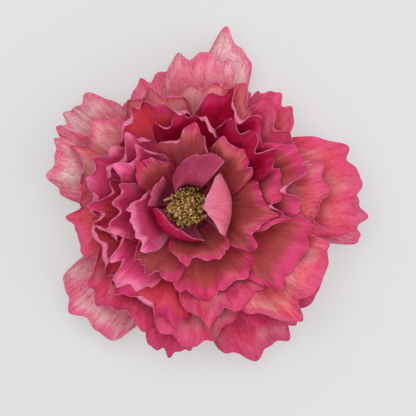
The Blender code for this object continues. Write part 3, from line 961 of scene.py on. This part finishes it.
# %% Slivers and tips
def instance_on(tree, points_socket, shape_socket, rotation, scale):
    """The shape, turned and scaled, on every point."""
    node = tree.nodes.new("GeometryNodeInstanceOnPoints")
    tree.links.new(points_socket, node.inputs["Points"])
    tree.links.new(shape_socket, node.inputs["Instance"])
    tree.links.new(rotation, node.inputs["Rotation"])
    plug(tree, node.inputs["Scale"], scale)
    return node.outputs[0]


lean_out = size["Splay"] * DEG * (share * 2.0 - 0.6) + random_amount(fringe_tree, -0.16, 0.16, 3)
turned = vector(fringe_tree, 0.0, lean_out, point_azimuth)
stretch = random_amount(fringe_tree, 0.8, 1.14, 7)
sliver = fringe_tree.nodes.new("GeometryNodeMeshCone")
sliver.inputs["Vertices"].default_value = 6
plug(fringe_tree, sliver.inputs["Radius Top"], size["Sliver radius"])
plug(fringe_tree, sliver.inputs["Radius Bottom"], size["Sliver radius"])
plug(fringe_tree, sliver.inputs["Depth"], size["Height"])
slivers = instance_on(
    fringe_tree, set_points.outputs[0], sliver.outputs[0], turned, vector(fringe_tree, 1.0, 1.0, stretch)
)
crumb = fringe_tree.nodes.new("GeometryNodeMeshIcoSphere")
plug(fringe_tree, crumb.inputs["Radius"], size["Tip radius"])
crumb.inputs["Subdivisions"].default_value = 2
lift = fringe_tree.nodes.new("GeometryNodeTransform")
fringe_tree.links.new(crumb.outputs[0], lift.inputs["Geometry"])
fringe_tree.links.new(vector(fringe_tree, 0.0, 0.0, size["Height"]), lift.inputs["Translation"])
girth = random_amount(fringe_tree, 0.5, 1.5, 5)
tips = instance_on(
    fringe_tree, set_points.outputs[0], lift.outputs[0], turned, vector(fringe_tree, girth, girth, stretch)
)
print("with slivers and tips:", len(fringe_tree.nodes), "nodes")

# %% Crumble the tips
both = fringe_tree.nodes.new("GeometryNodeJoinGeometry")
loose = fringe_tree.nodes.new("GeometryNodeRealizeInstances")
fringe_tree.links.new(tips, loose.inputs[0])
where = fringe_tree.nodes.new("GeometryNodeInputPosition").outputs[0]
lumps = fringe_tree.nodes.new("ShaderNodeTexNoise")
lumps.inputs["Scale"].default_value = 1100.0
lumps.inputs["Detail"].default_value = 4.0
fringe_tree.links.new(where, lumps.inputs["Vector"])
shove = [(part - 0.5) * size["Lumpiness"] for part in split(fringe_tree, lumps.outputs[1])]
crumble = fringe_tree.nodes.new("GeometryNodeSetPosition")
fringe_tree.links.new(loose.outputs[0], crumble.inputs["Geometry"])
fringe_tree.links.new(vector(fringe_tree, *shove), crumble.inputs["Offset"])
print("with crumbs:", len(fringe_tree.nodes), "nodes")

# %% The wound strip below the snips
coil = fringe_tree.nodes.new("GeometryNodeCurveSpiral")
coil.inputs["Resolution"].default_value = 40
plug(fringe_tree, coil.inputs["Rotations"], size["Roll turns"])
plug(fringe_tree, coil.inputs["Start Radius"], size["Roll start"])
plug(fringe_tree, coil.inputs["End Radius"], size["Outer radius"])
coil.inputs["Height"].default_value = 0.0
strip = fringe_tree.nodes.new("GeometryNodeCurvePrimitiveQuadrilateral")
plug(fringe_tree, strip.inputs["Width"], size["Roll thickness"])
plug(fringe_tree, strip.inputs["Height"], size["Roll height"])
wind = fringe_tree.nodes.new("GeometryNodeCurveToMesh")
wind.inputs["Fill Caps"].default_value = True
fringe_tree.links.new(coil.outputs[0], wind.inputs["Curve"])
fringe_tree.links.new(strip.outputs[0], wind.inputs["Profile Curve"])
lower = fringe_tree.nodes.new("GeometryNodeTransform")
fringe_tree.links.new(wind.outputs[0], lower.inputs["Geometry"])
roll_middle = size["Base height"] - size["Roll height"] * 0.5
fringe_tree.links.new(vector(fringe_tree, 0.0, 0.0, roll_middle), lower.inputs["Translation"])
for branch in (crumble.outputs[0], slivers, lower.outputs[0]):
    fringe_tree.links.new(branch, both.inputs[0])
close_tree(fringe_tree, both.outputs[0], paper_in)
print("fringe tree:", len(fringe_tree.nodes), "nodes")

# %% The fringe's colour
CRUMB_STOPS = ((0.34, (0.12, 0.05, 0.02)), (0.5, (0.46, 0.25, 0.07)), (0.66, (0.84, 0.62, 0.27)))
PAINTED_ROOT_SHADE = (0.20, 0.07, 0.02)
ochre, tree, shader = new_material("ochre_fringe", 0.9)
spot = tree.nodes.new("ShaderNodeTexCoord").outputs["Object"]
_, _, pz = split(tree, spot)
grit = noise(tree, spot, detail=3.0, scale=900.0)
# Below the tips the fringe turns dark brown: painted shade down among the crowded slivers of yellow paper.
up = soft_step(38.0 * MM, 43.0 * MM, pz)
tint = colour_mix(tree, up, PAINTED_ROOT_SHADE, colour_ramp(tree, grit, CRUMB_STOPS))
tree.links.new(tint, shader.inputs["Base Color"])
add_bump(tree, shader, grit, 0.4 * MM, 0.8)
print("fringe material:", len(tree.nodes), "nodes")

# %% Make the fringe
fringe = bake_tree(fringe_tree, "stamen_fringe_slivers", {
    "Count": 300.0,
    "Inner radius": 0.4 * MM,
    "Outer radius": 6.6 * MM,
    "Base height": 34.7 * MM,
    "Height": 7.0 * MM,
    "Sliver radius": 0.2 * MM,
    "Tip radius": 0.55 * MM,
    "Splay": 14.0,
    "Lumpiness": 3.0 * MM,
    "Jitter": 0.35 * MM,
    "Roll start": 2.6 * MM,
    "Roll turns": 10.0,
    "Roll thickness": 0.36 * MM,
    "Roll height": 7.8 * MM,
}, ochre)
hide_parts("stamen_fringe")
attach(fringe, "root")
print("fringe faces:", len(fringe.data.polygons))

# %% [markdown]
# ## Under the flower
# The stem was cut short. Its end is wound with floral tape, which stretches and sticks to itself,
# so each turn laps the last. A rule makes it: a disc and a wall in one sweep, with a sawtooth that
# climbs one lap for every turn. The cotton ball inside is the imported solid, and gets only a
# material here.

# %% The tree of the winding
tape_tree, size, paper_in = new_tree("Wound tape", (
    "Foot radius", "Rim radius", "Rim height", "Floor", "Turns", "Lap",
))
grid = tape_tree.nodes.new("GeometryNodeMeshGrid")
grid.inputs["Size X"].default_value = 2.0
grid.inputs["Size Y"].default_value = 1.0
grid.inputs["Vertices X"].default_value = 97
grid.inputs["Vertices Y"].default_value = 81
around, path, _ = split(tape_tree, tape_tree.nodes.new("GeometryNodeInputPosition").outputs[0])
around = around * math.pi
path = (path + 0.5) * (size["Foot radius"] + size["Rim height"])
up_wall = (path - size["Foot radius"]).math("MAXIMUM", 0.0)
on_wall = soft_step(-0.3 * MM, 0.3 * MM, path - size["Foot radius"])
turns_done = path / (size["Foot radius"] + size["Rim height"]) * size["Turns"]
lap = (turns_done - around / (2 * math.pi)).math("FRACT") * size["Lap"]
wall_share = up_wall / size["Rim height"]
radius = path.math("MINIMUM", size["Foot radius"])
radius = radius + (size["Rim radius"] - size["Foot radius"]) * wall_share - lap * on_wall
height = up_wall + size["Floor"] + lap * (1.0 - on_wall)
place = vector(tape_tree, radius * cosine(around), radius * sine(around), height)
store = tape_tree.nodes.new("GeometryNodeStoreNamedAttribute")
store.data_type = "FLOAT_VECTOR"
store.inputs["Name"].default_value = "paper"
tape_tree.links.new(grid.outputs["Mesh"], store.inputs["Geometry"])
tape_tree.links.new(vector(tape_tree, around * 8.0 * MM, path, lap), store.inputs["Value"])
close_tree(tape_tree, bend(tape_tree, store.outputs[0], place), paper_in)
print("wound tape tree:", len(tape_tree.nodes), "nodes")


# %% Tape
def close_seams(mesh):
    """Merges the seam and the pole of a swept mesh, and turns its faces outwards."""
    shape = bmesh.new()
    shape.from_mesh(mesh)
    bmesh.ops.remove_doubles(shape, verts=shape.verts, dist=0.005 * MM)
    bmesh.ops.recalc_face_normals(shape, faces=shape.faces)
    shape.to_mesh(mesh)
    shape.free()


tape_green, tree, shader = new_material("tape_green", 0.6)
x, y, _ = marks_of(tree, "paper")
wrinkles = noise(tree, vector(tree, x * 300.0, y * 1500.0, 0.0), detail=3.0)
tint = colour_ramp(tree, wrinkles, ((0.3, (0.03, 0.09, 0.02)), (0.7, (0.10, 0.20, 0.06))))
tree.links.new(tint, shader.inputs["Base Color"])
add_bump(tree, shader, wrinkles, 0.3 * MM, 0.6)

tape = bake_tree(tape_tree, "tape_winding_wound", {
    "Foot radius": 8.6 * MM,
    "Rim radius": 7.8 * MM,
    "Rim height": 6.4 * MM,
    "Floor": 0.1 * MM,
    "Turns": 7.0,
    "Lap": 0.35 * MM,
}, tape_green)
close_seams(tape.data)
wall = tape.modifiers.new("thickness", "SOLIDIFY")
wall.thickness = 0.5 * MM
wall.offset = 1.0 if tape.data.polygons[0].normal.z > 0 else -1.0
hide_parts("tape_winding")
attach(tape, "root")
print("tape faces:", len(tape.data.polygons))

# %% Cotton ball and wire
cotton, tree, shader = new_material("spun_cotton_shade", 0.95)
spot = tree.nodes.new("ShaderNodeTexCoord").outputs["Object"]
fibres = noise(tree, spot, detail=4.0, scale=700.0)
# The ball's dark wine red is painted shade for the gaps between the bud and the stamens, where it shows.
tint = colour_ramp(tree, fibres, ((0.3, (0.20, 0.03, 0.04)), (0.7, (0.36, 0.10, 0.10))))
tree.links.new(tint, shader.inputs["Base Color"])
add_bump(tree, shader, fibres, 0.4 * MM, 0.8)

wire_steel, tree, shader = new_material("wire_steel", 0.35)
shader.inputs["Metallic"].default_value = 1.0
spot = tree.nodes.new("ShaderNodeTexCoord").outputs["Object"]
px, py, pz = split(tree, spot)
drawn = noise(tree, vector(tree, px * 3000.0, py * 3000.0, pz * 60.0), detail=2.0)
tint = colour_ramp(tree, drawn, ((0.3, (0.30, 0.29, 0.28)), (0.7, (0.52, 0.51, 0.50))))
tree.links.new(tint, shader.inputs["Base Color"])
add_bump(tree, shader, drawn, 0.05 * MM, 0.4)

for name, material in (("cotton_ball", cotton), ("stem_wire", wire_steel)):
    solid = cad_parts[name]
    solid.data.materials.clear()
    solid.data.materials.append(material)
print("faces of the ball:", len(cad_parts["cotton_ball"].data.polygons))
